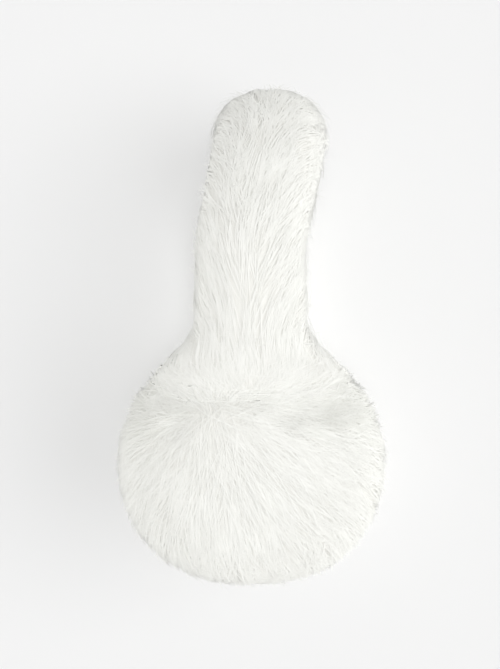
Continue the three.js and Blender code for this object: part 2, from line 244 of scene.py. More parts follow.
class FurSurface(ABC):
    """The skin that fur grows on: a point for each pair of coordinates, and how the fur lies there."""

    # The sign that turns the slopes' cross product out of the fur.
    outward: float = 1.0

    @abstractmethod
    def at(self, a: Array, b: Array) -> Array:
        """Points of the skin for arrays of its two coordinates."""

    @abstractmethod
    def heading(self, a: Array, b: Array) -> Pair:
        """The way the fur lies, as a step in the two coordinates."""

    @abstractmethod
    def samples(self, count: int, rng: np.random.Generator) -> Pair:
        """Random pairs of coordinates over the whole skin."""

    @abstractmethod
    def length_share(self, a: Array, b: Array) -> Array:
        """The length of the fur there, as a share of the longest."""

    @abstractmethod
    def grows(self, a: Array, b: Array) -> Array:
        """Whether fur grows there."""

    def density(self, a: Array, b: Array) -> Array:
        """How close the tufts stand there: 1 is the common spacing."""
        return np.ones_like(a)

    def disorder(self, a: Array, b: Array) -> Array:
        """How far, in radians, the hairs there stray at random from the lie of the fur."""
        return np.zeros_like(a)

    def shade(self, a: Array, b: Array) -> Array:
        """How much painted shade the hairs there take, as a share of the dark colour, beside their own random
        tone.
        """
        return np.zeros_like(a)

    def inside(self, a: Array) -> Array:
        """The first coordinate, kept where slopes can be taken."""
        return a

    def slopes(self, a: Array, b: Array) -> Pair:
        """How far a point moves for a unit step in each coordinate."""
        a = self.inside(a)
        point = self.at(a, b)
        moved = self.at(a + SLOPE_STEP, b), self.at(a, b + SLOPE_STEP)
        return (moved[0] - point) / SLOPE_STEP, (moved[1] - point) / SLOPE_STEP

    def normals(self, a: Array, b: Array) -> Array:
        """Unit normals, out of the fur: the cross product of the two slopes."""
        across, up = self.slopes(a, b)
        return unit_vectors(self.outward * np.cross(across, up))

    def steps(self, a: Array, b: Array, turn: Array) -> tuple[Pair, Pair]:
        """The steps in the two coordinates that go one metre along the fur, and one metre aside of it.

        Args:
            a: First coordinates.
            b: Second coordinates.
            turn: How far each hair is turned from the lie of the fur, in radians.

        Returns:
            The step along, and the step aside, each as a pair of arrays.
        """
        slope_a, slope_b = self.slopes(a, b)
        head_a, head_b = self.heading(a, b)
        aside_a, aside_b = self.aside(head_a, head_b, slope_a, slope_b)
        cos, sin = np.cos(turn), np.sin(turn)
        return (
            (cos * head_a + sin * aside_a, cos * head_b + sin * aside_b),
            (cos * aside_a - sin * head_a, cos * aside_b - sin * head_b),
        )

    @staticmethod
    def aside(head_a: Array, head_b: Array, slope_a: Array, slope_b: Array) -> Pair:
        """The unit step square to a unit heading on the skin.

        With E, F and G the products of the two slopes, a step (-(F p + G q), E p + F q) is square to (p, q).
        """
        e, f, g = (slope_a**2).sum(-1), (slope_a * slope_b).sum(-1), (slope_b**2).sum(-1)
        turned_a, turned_b = -(f * head_a + g * head_b), e * head_a + f * head_b
        size = np.sqrt(np.maximum(e * turned_a**2 + 2 * f * turned_a * turned_b + g * turned_b**2, 1e-18))
        return turned_a / size, turned_b / size

    def unit(self, head_a: Array, head_b: Array, a: Array, b: Array) -> Pair:
        """A heading scaled so that it goes one metre on the skin."""
        slope_a, slope_b = self.slopes(a, b)
        size = np.linalg.norm(slope_a * head_a[..., None] + slope_b * head_b[..., None], axis=-1)
        size = np.maximum(size, 1e-9)
        return head_a / size, head_b / size

    def scatter(self, count: int, rng: np.random.Generator) -> Pair:
        """Places spread by area and density: random coordinates, kept with a chance that follows both."""
        a, b = self.samples(20 * count, rng)
        slope_a, slope_b = self.slopes(a, b)
        area = np.linalg.norm(np.cross(slope_a, slope_b), axis=-1) * self.grows(a, b) * self.density(a, b)
        kept = np.flatnonzero(rng.random(len(a)) < area / np.quantile(area, 0.995))[:count]
        return a[kept], b[kept]


def rounded_square(angle: Array, power: Array | float) -> Pair:
    """The point at an angle on a rounded square of half size 1, where a power of 2 gives a circle."""
    c, s = np.cos(angle), np.sin(angle)
    size = (np.abs(c) ** power + np.abs(s) ** power) ** (-1 / power)
    return c * size, s * size


def smooth_step(x: Array, low: float | Array, high: float | Array) -> Array:
    """A smooth rise from 0 at low to 1 at high."""
    t = np.clip((x - low) / (high - low), 0, 1)
    return t * t * (3 - 2 * t)


@dataclass
class PadSkin(FurSurface):
    """A pad's skin as a flat map: its reach is 0 at the outer middle, 1 at the rim, 2 at the ear side's middle."""

    side: Side
    centre: Span
    rim_level: float
    width: float = 116 * MM
    height: float = 109 * MM
    outer_depth: float = 34 * MM
    ear_depth: float = 25 * MM
    outer_power: float = 2.5
    ear_power: float = 4.0
    lower_power: float = 2.25
    crease_level: float = 30 * MM
    crease_sag: float = 6 * MM
    crease_depth: float = 2.5 * MM
    crease_width: float = 6 * MM
    crease_room: float = 20 * MM
    crease_overlap: float = 4 * MM
    # The depth of dent that gives the full painted shade.
    full_shade_dent: float = 4 * MM
    shoulder_drop: float = 3 * MM
    shoulder_run: float = 2.5 * 6 * MM
    whorl: Span = (-11.5 * MM, 17.5 * MM)
    whorl_radius: float = 13 * MM
    whorl_density: float = 0.8
    # Where the headband covers the pad: places across, and the reach up to which it does.
    covered_half_width: float = 41 * MM
    covered_reach: float = 0.82
    # The ear side's fur: the reach where it starts and where it ends, and its length as a share.
    ear_fur_from: float = 1.3
    ear_fur_to: float = 1.85
    ear_fur_length: float = 0.45
    # Dimples beside the crease: place across and up, radius and depth, as shares of the half width.
    dimples: tuple[tuple[float, float, float, float], ...] = (
        (0.32, 0.37, 0.10, 0.075),
        (0.60, 0.42, 0.12, 0.090),
        (-0.58, 0.30, 0.12, 0.080),
        (-0.68, 0.48, 0.10, 0.065),
    )

    def __post_init__(self) -> None:
        """Set which way the normals point."""
        self.outward = float(self.side.value)

    def crease_at(self, x: Array) -> Array:
        """Height of the crease above the pad's middle: a shallow arch."""
        return self.crease_level - self.crease_sag * (x / (self.width / 2)) ** 2

    def from_centre(self, place: Array) -> Pair:
        """Places across and up from the pad's middle."""
        return place[..., 0] - self.centre[0], place[..., 1] - self.centre[1]

    def shoulder(self, x: Array, y: Array) -> Array:
        """How far the outer face steps down beyond the crease."""
        level = self.crease_at(x)
        return self.shoulder_drop * smooth_step(y, level, level + self.shoulder_run)

    def dent(self, x: Array, y: Array) -> Array:
        """How far the outer face drops: a groove at the crease, a step beyond it, and a few round dimples."""
        groove = self.crease_depth * np.exp(-(((y - self.crease_at(x)) / self.crease_width) ** 2))
        dent = groove + self.shoulder(x, y)
        half = self.width / 2
        for across, up, radius, depth in self.dimples:
            apart = ((x - across * half) ** 2 + (y - up * half) ** 2) / (radius * half) ** 2
            dent = dent + depth * half * np.exp(-apart)
        return dent

    def face_level(self, place: Array) -> Array:
        """Level of the outer face over places in the frame, and the rim's level beyond the pad's outline.

        With q the place's share of the way to the outline, the face rises by (1 - q^n)^(1/n) of its depth.
        """
        x, y = self.from_centre(place)
        u, v = np.abs(x) / (self.width / 2), np.abs(y) / (self.height / 2)
        power = np.where(y < 0, self.lower_power, 2.0)
        q = np.clip((u**power + v**power) ** (1 / power), 0, 1)
        rise = (1 - q**self.outer_power) ** (1 / self.outer_power)
        return self.rim_level + rise * (self.outer_depth - self.dent(x, y))

    def at(self, a: Array, b: Array) -> Array:
        """Points: a rounded-square profile turned round the pad's axis, stretched to its width and height."""
        reach = np.hypot(a, b)
        turn = np.arctan2(b, a)
        outer = reach <= 1
        slope = np.pi / 2 * np.abs(1 - reach)
        radius, rise = rounded_square(slope, np.where(outer, self.outer_power, self.ear_power))
        right, up = rounded_square(turn, np.where(b < 0, self.lower_power, 2.0))
        x = radius * right * self.width / 2
        y = radius * up * self.height / 2
        depth = np.where(outer, rise * (self.outer_depth - self.dent(x, y)), -rise * self.ear_depth)
        z = self.rim_level + self.side.value * depth
        return np.stack([x + self.centre[0], y + self.centre[1], z], axis=-1)

    def shade(self, a: Array, b: Array) -> Array:
        """Painted shade: darker in the crease and the dimples, by their depth."""
        x, y = self.from_centre(self.at(a, b))
        hollow = self.dent(x, y) - self.shoulder(x, y)
        return np.where(np.hypot(a, b) < 1, hollow / self.full_shade_dent, 0)

    def near_whorl(self, a: Array, b: Array) -> Array:
        """A bell round the whorl: 1 at its middle."""
        x, y = a * self.width / 2 - self.whorl[0], b * self.height / 2 - self.whorl[1]
        return np.exp(-(x**2 + y**2) / self.whorl_radius**2)

    def density(self, a: Array, b: Array) -> Array:
        """Closer at the whorl, where the fur parts."""
        return 1 + self.whorl_density * self.near_whorl(a, b)

    def disorder(self, a: Array, b: Array) -> Array:
        """More at the whorl, where hairs cross."""
        return self.near_whorl(a, b)

    def heading(self, a: Array, b: Array) -> Pair:
        """Away from the whorl on the outer face and over the rim, and out to the rim on the ear side."""
        away = a - self.whorl[0] / (self.width / 2), b - self.whorl[1] / (self.height / 2)
        inward = np.hypot(a, b) > self.ear_fur_from
        return self.unit(np.where(inward, -a, away[0]), np.where(inward, -b, away[1]), a, b)

    def samples(self, count: int, rng: np.random.Generator) -> Pair:
        """Random places on the map."""
        reach, turn = 1.97 * np.sqrt(rng.random(count)), 2 * np.pi * rng.random(count)
        return reach * np.cos(turn), reach * np.sin(turn)

    def length_share(self, a: Array, b: Array) -> Array:
        """Shorter below the crease, where it is pressed against the headband, and short on the ear side."""
        reach = np.hypot(a, b)
        x, y = self.from_centre(self.at(a, b))
        room = (self.crease_at(x) + self.crease_overlap - y) / self.crease_room
        rising = (b > self.whorl[1] / (self.height / 2)) & (room > 0) & (reach < 1)
        outer = np.where(rising, np.clip(room, 0.3, 1), 1.0)
        ear = self.ear_fur_length * np.clip((1.98 - reach) / 0.3, 0.2, 1)
        return np.where(reach > self.ear_fur_from, ear, outer)

    def grows(self, a: Array, b: Array) -> Array:
        """Everywhere but under the end of the headband and at the middle of the ear side."""
        reach = np.hypot(a, b)
        x, y = self.from_centre(self.at(a, b))
        beyond_crease = y > self.crease_at(x) - 1 * MM
        covered = (np.abs(x) < self.covered_half_width) & beyond_crease & (reach < self.covered_reach)
        return ~covered & (reach < self.ear_fur_to)


@dataclass
class BandSkin(FurSurface):
    """The headband's skin: a share of the way from the upper pad to the lower one, and a turn round it."""

    pad_centre: Span
    middle_level: float
    span: float = 130 * MM
    crown_level: float = 148 * MM
    wide_level: float = 76 * MM
    end_level: float = 27 * MM
    leg_reach: float = 140 * MM
    lean: float = 7.6 * MM
    lean_level: float = 90 * MM
    width: float = 49 * MM
    outer_depth: float = 22.2 * MM
    inner_depth: float = 10 * MM
    outer_power: float = 2.2
    inner_power: float = 2.8
    cap_length: float = 16 * MM
    end_stretch: float = 10 * MM
    lower_end_room: float = 24 * MM
    inner_length: float = 0.75
    saddle: float = 14 * MM
    pad_half_width: float = 58 * MM
    over_pad_from: float = 0.74
    over_pad_by: float = 0.94
    fan: float = math.radians(66)
    shoulder_fan: float = math.radians(20)
    # Share of the way from the crown to an end, and the width and outer depth there as shares of the crown's.
    sections: tuple[tuple[float, float, float], ...] = (
        (0.0, 1.05, 1.0),
        (0.3, 1.0, 0.97),
        (0.55, 0.96, 0.9),
        (0.78, 0.99, 0.86),
        (1.0, 1.95, 0.6),
    )

    def __post_init__(self) -> None:
        """Measure the line once, so that equal steps of the share are equal lengths of it."""
        end_angle = math.acos(-(self.wide_level - self.end_level) / self.leg_reach)
        angle = end_angle * (1 - 2 * np.linspace(0, 1, 2001))
        y, z = self.line(angle)
        length = np.concatenate([[0], np.cumsum(np.hypot(np.diff(y), np.diff(z)))])
        self.length = float(length[-1])
        self.table = {"share": length / length[-1], "angle": angle}

    def line(self, angle: Array) -> Pair:
        """Height above the pads' middle and place along the ears' line: half an ellipse, and longer legs."""
        c = np.cos(angle)
        rise = np.where(c > 0, self.crown_level - self.wide_level, self.leg_reach)
        return self.wide_level + rise * c, self.span / 2 * np.sin(angle)

    def shares(self, share: Array) -> Pair:
        """Width and outer depth along the band, as shares: smooth steps between the rows of the table."""
        out = np.abs(2 * share - 1)
        rows = np.array(self.sections)
        width, depth = np.full_like(out, rows[0, 1]), np.full_like(out, rows[0, 2])
        for (start, w0, d0), (end, w1, d1) in zip(rows, rows[1:]):
            t = smooth_step(out, start, end)
            width, depth = width + (w1 - w0) * t, depth + (d1 - d0) * t
        return width, depth

    def over_pad(self, share: Array) -> Array:
        """How far the band lies on a pad there: 0 on its legs and crown, 1 near its ends."""
        return smooth_step(np.abs(2 * share - 1), self.over_pad_from, self.over_pad_by)

    def cap(self, share: Array) -> Array:
        """The size of the section there, from 0 at an end to 1 once the rounded end is past."""
        to_end = np.minimum(share, 1 - share) * self.length / self.cap_length
        return np.cbrt(1 - (1 - np.clip(to_end, 0, 1)) ** 3)

    def drop(self, x: Array, share: Array) -> Array:
        """How far a place across the band is bent down over a pad."""
        return self.saddle * (x / self.pad_half_width) ** 2 * self.over_pad(share)

    def section(self, share: Array, b: Array) -> Pair:
        """The rounded section: its place sideways and away from the head, as shares of half its sizes."""
        return rounded_square(b, np.where(np.sin(b) > 0, self.outer_power, self.inner_power))

    def at(self, a: Array, b: Array) -> Array:
        """Points: a section carried along the line, drawn in at its ends, its sides bent over the pads."""
        share = np.clip(a, 0, 1)
        angle = np.interp(share, self.table["share"], self.table["angle"])
        y, z = self.line(angle)
        y1, z1 = self.line(angle - SLOPE_STEP)
        run = np.hypot(y1 - y, z1 - z)
        along_y, along_z = (y1 - y) / run, (z1 - z) / run
        sideways, away = self.section(share, b)
        width, depth = self.shares(share)
        cap = self.cap(share)
        height = away * cap * np.where(np.sin(b) > 0, depth * self.outer_depth, self.inner_depth)
        lean = self.lean * smooth_step(y, self.lean_level, self.crown_level)
        across = sideways * width * cap * self.width / 2
        drop = self.drop(across, share) * np.sign(z)
        x = across + lean + self.pad_centre[0]
        y, z = y - along_z * height + self.pad_centre[1], z + along_y * height - drop + self.middle_level
        return np.stack([x, y, z], axis=-1)

    def end_top(self, x: Array, y: Array) -> Array:
        """Level of the outer side over places near the upper end, and far below it elsewhere."""
        angle = np.arccos(np.clip((y - self.wide_level) / self.leg_reach, -1, 0))
        share = np.interp(-angle, -self.table["angle"], self.table["share"])
        width, depth = self.shares(share)
        cap = self.cap(share)
        across = np.abs(x) / np.maximum(width * cap * self.width / 2, 1e-6)
        rise = (1 - np.clip(across, 0, 1) ** self.outer_power) ** (1 / self.outer_power)
        level = self.span / 2 * np.sin(angle) + rise * cap * depth * self.outer_depth - self.drop(x, share)
        return np.where((across < 1) & (y > self.end_level), level + self.middle_level, -1.0)

    def heading(self, a: Array, b: Array) -> Pair:
        """Along the band from the upper pad to the lower one, fanned out toward its edges."""
        slope_a, slope_b = self.slopes(a, b)
        fan = (self.fan + self.shoulder_fan * self.over_pad(a) * (a < 0.5)) * np.cos(b)
        along = np.cos(fan) / np.maximum(np.linalg.norm(slope_a, axis=-1), 1e-9)
        around = -np.sin(fan) / np.maximum(np.linalg.norm(slope_b, axis=-1), 1e-9)
        return self.unit(along, around, a, b)

    def inside(self, a: Array) -> Array:
        """The share, kept off the two ends."""
        return np.clip(a, 0.002, 0.996)

    def density(self, a: Array, b: Array) -> Array:
        """Closer at the upper end, where the fur of the band starts."""
        return 1 + np.exp(-((a * self.length / self.end_stretch) ** 2))

    def samples(self, count: int, rng: np.random.Generator) -> Pair:
        """Random places on the band."""
        return 0.003 + 0.994 * rng.random(count), 2 * np.pi * rng.random(count)

    def length_share(self, a: Array, b: Array) -> Array:
        """Shorter toward the head, and at the lower end, so that no hair runs off it."""
        room = np.clip((1 - a) * self.length / self.lower_end_room, 0.25, 1)
        return room * (self.inner_length + (1 - self.inner_length) * smooth_step(np.sin(b), -0.5, 0.3))

    def grows(self, a: Array, b: Array) -> Array:
        """Everywhere but on the side that lies on a pad."""
        return (np.sin(b) > -0.1) | (self.over_pad(a) < 0.8)


@dataclass
class BandFurSkin(BandSkin):
    """The headband's skin for hairs, which run on over the pad's shoulders where the band lies on it."""

    overshoot: float = 0.1

    def section(self, share: Array, b: Array) -> Pair:
        """The rounded section, its side toward a pad rolled out beyond the band's edges."""
        sideways, away = super().section(share, b)
        under = np.clip(-np.sin(b), 0, 1)
        out = np.where(np.cos(b) > 0, 1, -1) * (1 + self.overshoot * under)
        rolled = np.where(under > 0, self.over_pad(share) * (1 - smooth_step(under, 0.3, 0.6)), 0)
        return sideways + (out - sideways) * rolled, away * (1 - rolled)


@dataclass
class CreaseSkin(FurSurface):
    """The strip where the pad meets the end of the headband: places across and up from the pad's middle."""

    pad: PadSkin
    band: BandSkin
    half_width: float = 49 * MM
    below: float = 8 * MM
    above: float = 6 * MM

    def at(self, a: Array, b: Array) -> Array:
        """Points: the higher of the pad's outer face and the top of the band's end."""
        place = np.stack([a + self.pad.centre[0], b + self.pad.centre[1], np.zeros_like(a)], axis=-1)
        place[..., 2] = np.maximum(self.pad.face_level(place), self.band.end_top(a, b))
        return place

    def heading(self, a: Array, b: Array) -> Pair:
        """Away from the pad's whorl."""
        return self.unit(a - self.pad.whorl[0], b - self.pad.whorl[1], a, b)

    def samples(self, count: int, rng: np.random.Generator) -> Pair:
        """Random places in the strip."""
        x = self.half_width * rng.uniform(-1, 1, count)
        return x, self.pad.crease_at(x) + rng.uniform(-self.below, self.above, count)

    def reach(self, a: Array, b: Array) -> Array:
        """The share of the way from the pad's middle to its outline."""
        return np.hypot(2 * a / self.pad.width, 2 * b / self.pad.height)

    def length_share(self, a: Array, b: Array) -> Array:
        """Short enough to end before the pad's outline."""
        return np.clip((0.96 - self.reach(a, b)) * self.pad.width / 2 / CREASE_PILE.length, 0.25, 0.9)

    def grows(self, a: Array, b: Array) -> Array:
        """Inside the pad's outline."""
        return self.reach(a, b) < 0.88

    def shade(self, a: Array, b: Array) -> Array:
        """Painted shade, as on the pad."""
        return self.pad.shade(2 * a / self.pad.width, 2 * b / self.pad.height)


@dataclass
class FurMesh:
    """One closed fur mesh as arrays: for its vertices, its faces and the corners of its faces."""

    places: Array
    normals: Array
    triangles: Array
    quads: Array
    hair_map: Array
    bake_map: Array
    tones: Array

    @staticmethod
    def joined(parts: list["FurMesh"]) -> "FurMesh":
        """Several meshes as one, triangles first and quads after."""
        first = np.cumsum([0] + [len(p.places) for p in parts])[:-1]
        corners = [3 * len(p.triangles) for p in parts]

        def whole(name: str, shifts: Array | int = 0) -> Array:
            """An array of all the parts, each shifted by its number."""
            shifts = np.broadcast_to(shifts, len(parts))
            return np.concatenate([getattr(p, name) + shift for p, shift in zip(parts, shifts)])

        def maps(name: str) -> Array:
            """A map, its triangles' corners before its quads'."""
            both = [(getattr(p, name)[:n], getattr(p, name)[n:]) for p, n in zip(parts, corners)]
            return np.concatenate([t for t, _ in both] + [q for _, q in both])

        return FurMesh(
            whole("places"), whole("normals"), whole("triangles", first), whole("quads", first),
            maps("hair_map"), maps("bake_map"), whole("tones"),
        )

    def to_object(self, name: str, material: bpy.types.Material) -> bpy.types.Object:
        """Put the arrays into a Blender mesh.

        Args:
            name: The piece's name.
            material: The piece's material.

        Returns:
            The piece, linked to the scene, smooth shaded.
        """
        mesh = bpy.data.meshes.new(name)
        corners = np.concatenate([self.triangles.ravel(), self.quads.ravel()]).astype(np.int32)
        sizes = np.repeat([3, 4], [len(self.triangles), len(self.quads)]).astype(np.int32)
        mesh.vertices.add(len(self.places))
        mesh.vertices.foreach_set("co", self.places.astype(np.float32).ravel())
        mesh.loops.add(len(corners))
        mesh.loops.foreach_set("vertex_index", corners)
        mesh.polygons.add(len(sizes))
        mesh.polygons.foreach_set("loop_start", np.concatenate([[0], np.cumsum(sizes)[:-1]]).astype(np.int32))
        mesh.polygons.foreach_set("loop_total", sizes)
        mesh.update(calc_edges=True)
        mesh.polygons.foreach_set("use_smooth", np.ones(len(sizes), dtype=bool))
        for map_name, values in (("hair", self.hair_map), ("OFBake", self.bake_map)):
            mesh.uv_layers.new(name=map_name).data.foreach_set("uv", values.astype(np.float32).ravel())
        tones = mesh.attributes.new("tone", "FLOAT", "POINT")
        tones.data.foreach_set("value", self.tones.astype(np.float32))
        mesh.validate()
        mesh.normals_split_custom_set_from_vertices(self.normals.astype(np.float32))
        mesh.materials.append(material)
        return placed(name, mesh)


def laid_on_pad(pad: PadSkin, centre: Array, normal: Array, height: Array, from_end: Array) -> Pair:
    """Hairs near the band's upper end, lifted to the pad's outer face, with normals turned up close to it.

    They are near within 75 mm of the end and above the rim, and close within 6 mm of the face.

    Args:
        pad: The pad that they lie on.
        centre: Points of each hair, from root to tip.
        normal: The skin's normals there.
        height: How far each point stands off the skin.
        from_end: How far along the band each point is from its upper end.

    Returns:
        The points and the normals.
    """
    resting = pad.face_level(centre) + np.maximum(height, -0.5 * MM)
    near = (from_end < 75 * MM) & (centre[..., 2] > pad.rim_level - 6 * MM)
    closeness = np.where(near, 1 - smooth_step(centre[..., 2] - resting, 0, 6 * MM), 0)[..., None] * 0.6
    centre[..., 2] = np.where(near, np.maximum(centre[..., 2], resting), centre[..., 2])
    normal[..., 2] = np.where(near, np.maximum(normal[..., 2], 0.3), normal[..., 2])
    return centre, unit_vectors(normal * (1 - closeness) + np.array([0, 0, 1]) * closeness)


def grown_hairs(
    skin: FurSurface, pile: Pile, tufts: int, seed: int, bake_cells: Span, over: PadSkin | None = None
) -> FurMesh:
    """Hairs on a skin, as closed three-sided spikes.

    Each tuft has a root and a heading. Its hairs start around the root and draw together toward the tip. A
    hair runs over the skin along its heading, bent sideways with the square of the way. Its height is its
    layer, less a sunk root, plus a lift that grows with the way to the power 1.5.

    Args:
        skin: The skin that they grow on.
        pile: The kind of hair.
        tufts: How many tufts.
        seed: Start of the random numbers.
        bake_cells: The stretch of the bake map that the hairs share.
        over: A pad whose outer face the hairs lie on where they reach it.

    Returns:
        The mesh of all the hairs.
    """
    rng = np.random.default_rng(seed)
    root_a, root_b = (np.repeat(c, pile.hairs_in_tuft) for c in skin.scatter(tufts, rng))
    count = len(root_a)

    def per_tuft(values: Array) -> Array:
        """Each tuft's value for each of its hairs."""
        return np.repeat(values, pile.hairs_in_tuft)[:count]

    turn = per_tuft(rng.normal(0, pile.tuft_turn, tufts)) + rng.normal(0, pile.hair_turn, count)
    turn = turn + skin.disorder(root_a, root_b) * rng.normal(0, 1, count)
    along_step, aside_step = skin.steps(root_a, root_b, turn)
    length = pile.length * skin.length_share(root_a, root_b)
    length = length * (1 + pile.spread * per_tuft(rng.uniform(-1, 1, tufts)) * 0.5)
    length = length * (1 + pile.spread * rng.uniform(-1, 1, count) * 0.5)
    start_aside, start_along = rng.normal(0, pile.tuft_radius, (2, count))
    bend = rng.normal(0, pile.bend, count) * pile.own_bend + per_tuft(rng.normal(0, pile.bend, tufts))
    stray = rng.random(count) < pile.stray_share
    layer = pile.layer * rng.uniform(-0.4, 0.6, count)
    lift = pile.lift * rng.uniform(0.2, 1.2, count)
    lift = lift + per_tuft(rng.uniform(0, pile.tuft_lift, tufts)) * pile.lift
    lift = lift + stray * pile.stray_lift * rng.random(count)
    share = np.linspace(0, 1, pile.rings + 2)[None, :]
    along = start_along[:, None] * (1 - 0.4 * share) + length[:, None] * share
    aside = start_aside[:, None] * (1 - pile.gather * share) + (bend * length)[:, None] * share**2
    a = root_a[:, None] + along_step[0][:, None] * along + aside_step[0][:, None] * aside
    b = root_b[:, None] + along_step[1][:, None] * along + aside_step[1][:, None] * aside
    normal = skin.normals(a, b)
    height = layer[:, None] - pile.sink * (1 - share) ** 3 + lift[:, None] * share**1.5
    centre = skin.at(a, b) + normal * height[..., None]
    if over is not None:
        centre, normal = laid_on_pad(over, centre, normal, height, a * skin.length)
    width = pile.width * rng.uniform(0.75, 1.25, count)
    off_floor = width / 2 + 0.6 * MM * rng.random(count)
    centre[..., 2] = np.maximum(centre[..., 2], off_floor[:, None])
    tone = pile.own_tone * rng.random(count) + pile.tuft_tone * per_tuft(rng.random(tufts))
    # The skin's painted shade is added to each hair's random tone.
    return spikes(centre, normal, width, pile.flatness, tone + skin.shade(root_a, root_b), bake_cells)


def tube_faces(count: int, rings: int, sides: int) -> Pair:
    """Corners of the faces of tubes that are closed to a point at both ends.

    Args:
        count: How many tubes.
        rings: How many rings each has between its two end points.
        sides: How many corners a ring has.

    Returns:
        The triangles, a fan at each end, and the quads between the rings.
    """
    side = np.arange(sides)
    after = (side + 1) % sides
    tip = rings * sides + 1
    last = tip - sides
    root_fan = np.stack([0 * side, 1 + side, 1 + after], axis=-1)
    tip_fan = np.stack([last + side, 0 * side + tip, last + after], axis=-1)
    row = 1 + sides * np.arange(rings - 1)[:, None]
    above = row + sides
    walls = np.stack([row + side, above + side, above + after, row + after], axis=-1).reshape(-1, 4)
    first = (tip + 1) * np.arange(count)[:, None, None]
    return (first + np.concatenate([root_fan, tip_fan])).reshape(-1, 3), (first + walls).reshape(-1, 4)


def spike_maps(count: int, rings: int, bake_cells: Span) -> Pair:
    """The two maps for each corner of the spikes' faces.

    Args:
        count: How many spikes.
        rings: How many rings each has between its root and its tip.
        bake_cells: The stretch of the bake map that they share.

    Returns:
        The map across and along each hair, and the bake map, where each hair has a cell of its own.
    """
    side = np.arange(SPIKE_SIDES)
    level = np.linspace(0, 1, rings + 2)
    low, high, end = side / SPIKE_SIDES, (side + 1) / SPIKE_SIDES, np.ones(SPIKE_SIDES)
    middle, near, far = (low + high) / 2, level[1] * end, level[-2] * end
    root_fan = np.stack([middle, 0 * end, low, near, high, near], axis=-1)
    tip_fan = np.stack([low, far, middle, end, high, far], axis=-1)
    fans = np.concatenate([root_fan, tip_fan]).reshape(-1, 3, 2)
    start, stop = np.repeat(level[1:-2], SPIKE_SIDES), np.repeat(level[2:-1], SPIKE_SIDES)
    lows, highs = np.tile(low, rings - 1), np.tile(high, rings - 1)
    walls = np.stack([lows, start, lows, stop, highs, stop, highs, start], axis=-1).reshape(-1, 4, 2)
    across = math.ceil(math.sqrt(count))
    cell = np.stack([np.arange(count) % across, np.arange(count) // across], axis=-1) / across

    def in_cells(values: Array) -> Array:
        """Each hair's map, shrunk into its own cell of the bake map."""
        inside = cell[:, None, None, :] + (0.1 + 0.8 * values[None]) / across
        inside[..., 1] = bake_cells[0] + (bake_cells[1] - bake_cells[0]) * inside[..., 1]
        return inside.reshape(-1, 2)

    hair_map = [np.broadcast_to(values, (count, *values.shape)).reshape(-1, 2) for values in (fans, walls)]
    return np.concatenate(hair_map), np.concatenate([in_cells(fans), in_cells(walls)])


def spikes(
    centre: Array, normal: Array, width: Array, flatness: float, tone: Array, bake_cells: Span
) -> FurMesh:
    """Closed three-sided spikes round rows of points: they swell from the root and thin to the tip.

    Args:
        centre: Points of each hair, from root to tip.
        normal: The skin's normals there.
        width: Width of each hair.
        flatness: Thickness of a hair as a share of its width.
        tone: Tone of each hair, its random tone with painted shade added: 0 is the lightest, 1 and more the dark
            colour.
        bake_cells: The stretch of the bake map that the hairs share.

    Returns:
        The mesh of all of them.
    """
    count, points = centre.shape[:2]
    rings = points - 2
    ahead = unit_vectors(np.gradient(centre, axis=1))
    sideways = unit_vectors(np.cross(ahead, normal))
    upward = np.cross(sideways, ahead)
    share = np.linspace(0, 1, points)[1:-1]
    radius = width[:, None] / 2 * (np.sin(np.pi * share**0.7) ** 0.45)[None, :]
    turn = (2 * np.pi * (np.arange(SPIKE_SIDES) + 0.25) / SPIKE_SIDES)[None, None, :, None]
    offset = np.cos(turn) * sideways[:, 1:-1, None, :] + flatness * np.sin(turn) * upward[:, 1:-1, None, :]

    def with_ends(between: Array, ends: Array) -> Array:
        """The rings' rows with the root's before them and the tip's after them."""
        return np.concatenate([ends[:, :1], between.reshape(count, -1, 3), ends[:, -1:]], axis=1)

    shading = with_ends(HAIR_ROUNDNESS * offset + (1 - HAIR_ROUNDNESS) * normal[:, 1:-1, None, :], normal)
    shading[..., 2] = np.maximum(shading[..., 2] + LIGHT_THROUGH_FUR, LEAST_UPWARD)
    places = with_ends(centre[:, 1:-1, None, :] + radius[:, :, None, None] * offset, centre)
    places[..., 2] = np.maximum(places[..., 2], 0)
    return FurMesh(
        places.reshape(-1, 3),
        unit_vectors(shading).reshape(-1, 3),
        *tube_faces(count, rings, SPIKE_SIDES),
        *spike_maps(count, rings, bake_cells),
        np.repeat(tone, rings * SPIKE_SIDES + 2),
    )


def felted_bed(rows: list[Array]) -> FurMesh:
    """The closed bed of the fur.

    Args:
        rows: The first end's point, the rings of points and the last end's point.

    Returns:
        The mesh.
    """
    rings = np.stack(rows[1:-1])
    count, sides = rings.shape[:2]
    places = np.concatenate([rows[0][None], rings.reshape(-1, 3), rows[-1][None]])
    places[:, 2] = np.maximum(places[:, 2], 0.2 * MM)
    triangles, quads = (np.roll(faces[:, ::-1], 1, axis=1) for faces in tube_faces(1, count, sides))
    points = np.concatenate([triangles.ravel(), quads.ravel()])
    ring = np.clip((points - 1) // sides, 0, count - 1) / count
    around = ((points - 1) % sides) / sides
    hair_map = np.stack([around, np.full(len(points), BED_DEPTH)], axis=-1)
    bake_map = np.stack([around, BED_CELLS[0] + (BED_CELLS[1] - BED_CELLS[0]) * ring], axis=-1)
    # Normals of 0 leave the shading to the faces.
    normals, tones = np.zeros_like(places), np.full(len(places), BED_TONE)
    return FurMesh(places, normals, triangles, quads, hair_map, bake_map, tones)


